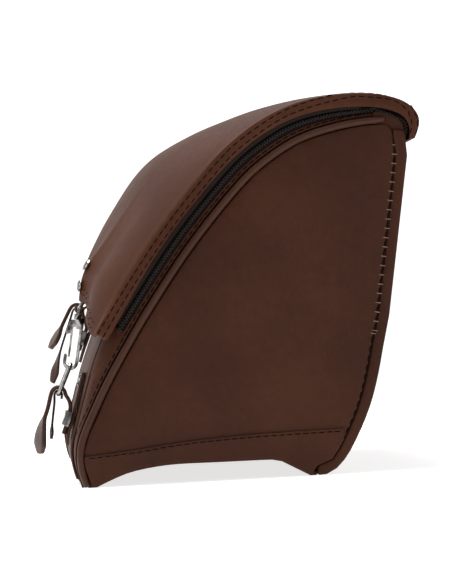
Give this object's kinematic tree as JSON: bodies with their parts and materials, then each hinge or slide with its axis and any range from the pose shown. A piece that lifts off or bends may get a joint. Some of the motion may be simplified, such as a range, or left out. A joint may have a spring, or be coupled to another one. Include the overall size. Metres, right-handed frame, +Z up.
{
  "type": "motorcycle saddlebag",
  "caption": "Hollow leather pannier with flat ends, an arched bottom, a crowned zip lid hanging over a bulged front, and strap sets closed by sprung snap hooks.",
  "frame": {"origin": "centre of the bounding box in X and Y, at the height of the two feet the bag stands on", "axes": "+Z up; Y along the bag's length, with the end seen in the picture at -Y; +X out of the back panel towards the motorcycle, so the front with its straps faces -X"},
  "size_m": [0.2872, 0.3844, 0.276],
  "materials": {
    "leather": "satin dark brown grain",
    "lid_leather": "satin brown grain, a little lighter",
    "zip_tape": "black woven tape",
    "zip_coil": "dark grey moulded teeth",
    "chrome": "polished plate"
  },
  "bodies": {
    "bag": {"back_panel": "leather", "bottom_panel": "leather", "front_panel": "leather", "end_panel_near": "leather", "end_panel_far": "leather", "base_trim_near": "leather", "base_trim_far": "leather", "side_strip_near": "leather", "side_strip_far": "leather", "piping_near": "leather", "piping_far": "leather", "base_tab_near": "leather", "base_tab_far": "leather", "body_strap_near": "leather", "body_strap_far": "leather", "pull_tab_near": "leather", "pull_tab_far": "leather", "lid": "lid_leather", "zip_skirt_near": "lid_leather", "zip_skirt_far": "lid_leather", "lid_tab_near": "lid_leather", "lid_tab_far": "lid_leather", "zip_tape_front": "zip_tape", "zip_tape_near": "zip_tape", "zip_tape_far": "zip_tape", "zip_coil_near": "zip_coil", "zip_coil_far": "zip_coil", "snap_hook_near": "chrome", "snap_hook_far": "chrome", "buckle_frame_near": "chrome", "buckle_frame_far": "chrome", "keeper_near": "chrome", "keeper_far": "chrome", "base_rivet_near": "chrome", "base_rivet_far": "chrome", "lid_rivet_low_near": "chrome", "lid_rivet_low_far": "chrome", "lid_rivet_high_near": "chrome", "lid_rivet_high_far": "chrome"},
    "lever_near": {"hook_lever_near": "chrome"},
    "lever_far": {"hook_lever_far": "chrome"}
  },
  "joints": [
    {"name": "hook_lever_near_hinge", "type": "hinge", "parent": "bag", "child": "lever_near", "pos_m": [-0.11063, -0.115, 0.11628], "axis": [0, -1, 0], "range_deg": [0, 8.5], "stiffness_Nm_per_rad": 0.05, "springref_deg": -17.19},
    {"name": "hook_lever_far_hinge", "type": "hinge", "parent": "bag", "child": "lever_far", "pos_m": [-0.0763, 0.115, 0.17206], "axis": [0, -1, 0], "range_deg": [0, 8.5], "stiffness_Nm_per_rad": 0.05, "springref_deg": -17.19}
  ]
}
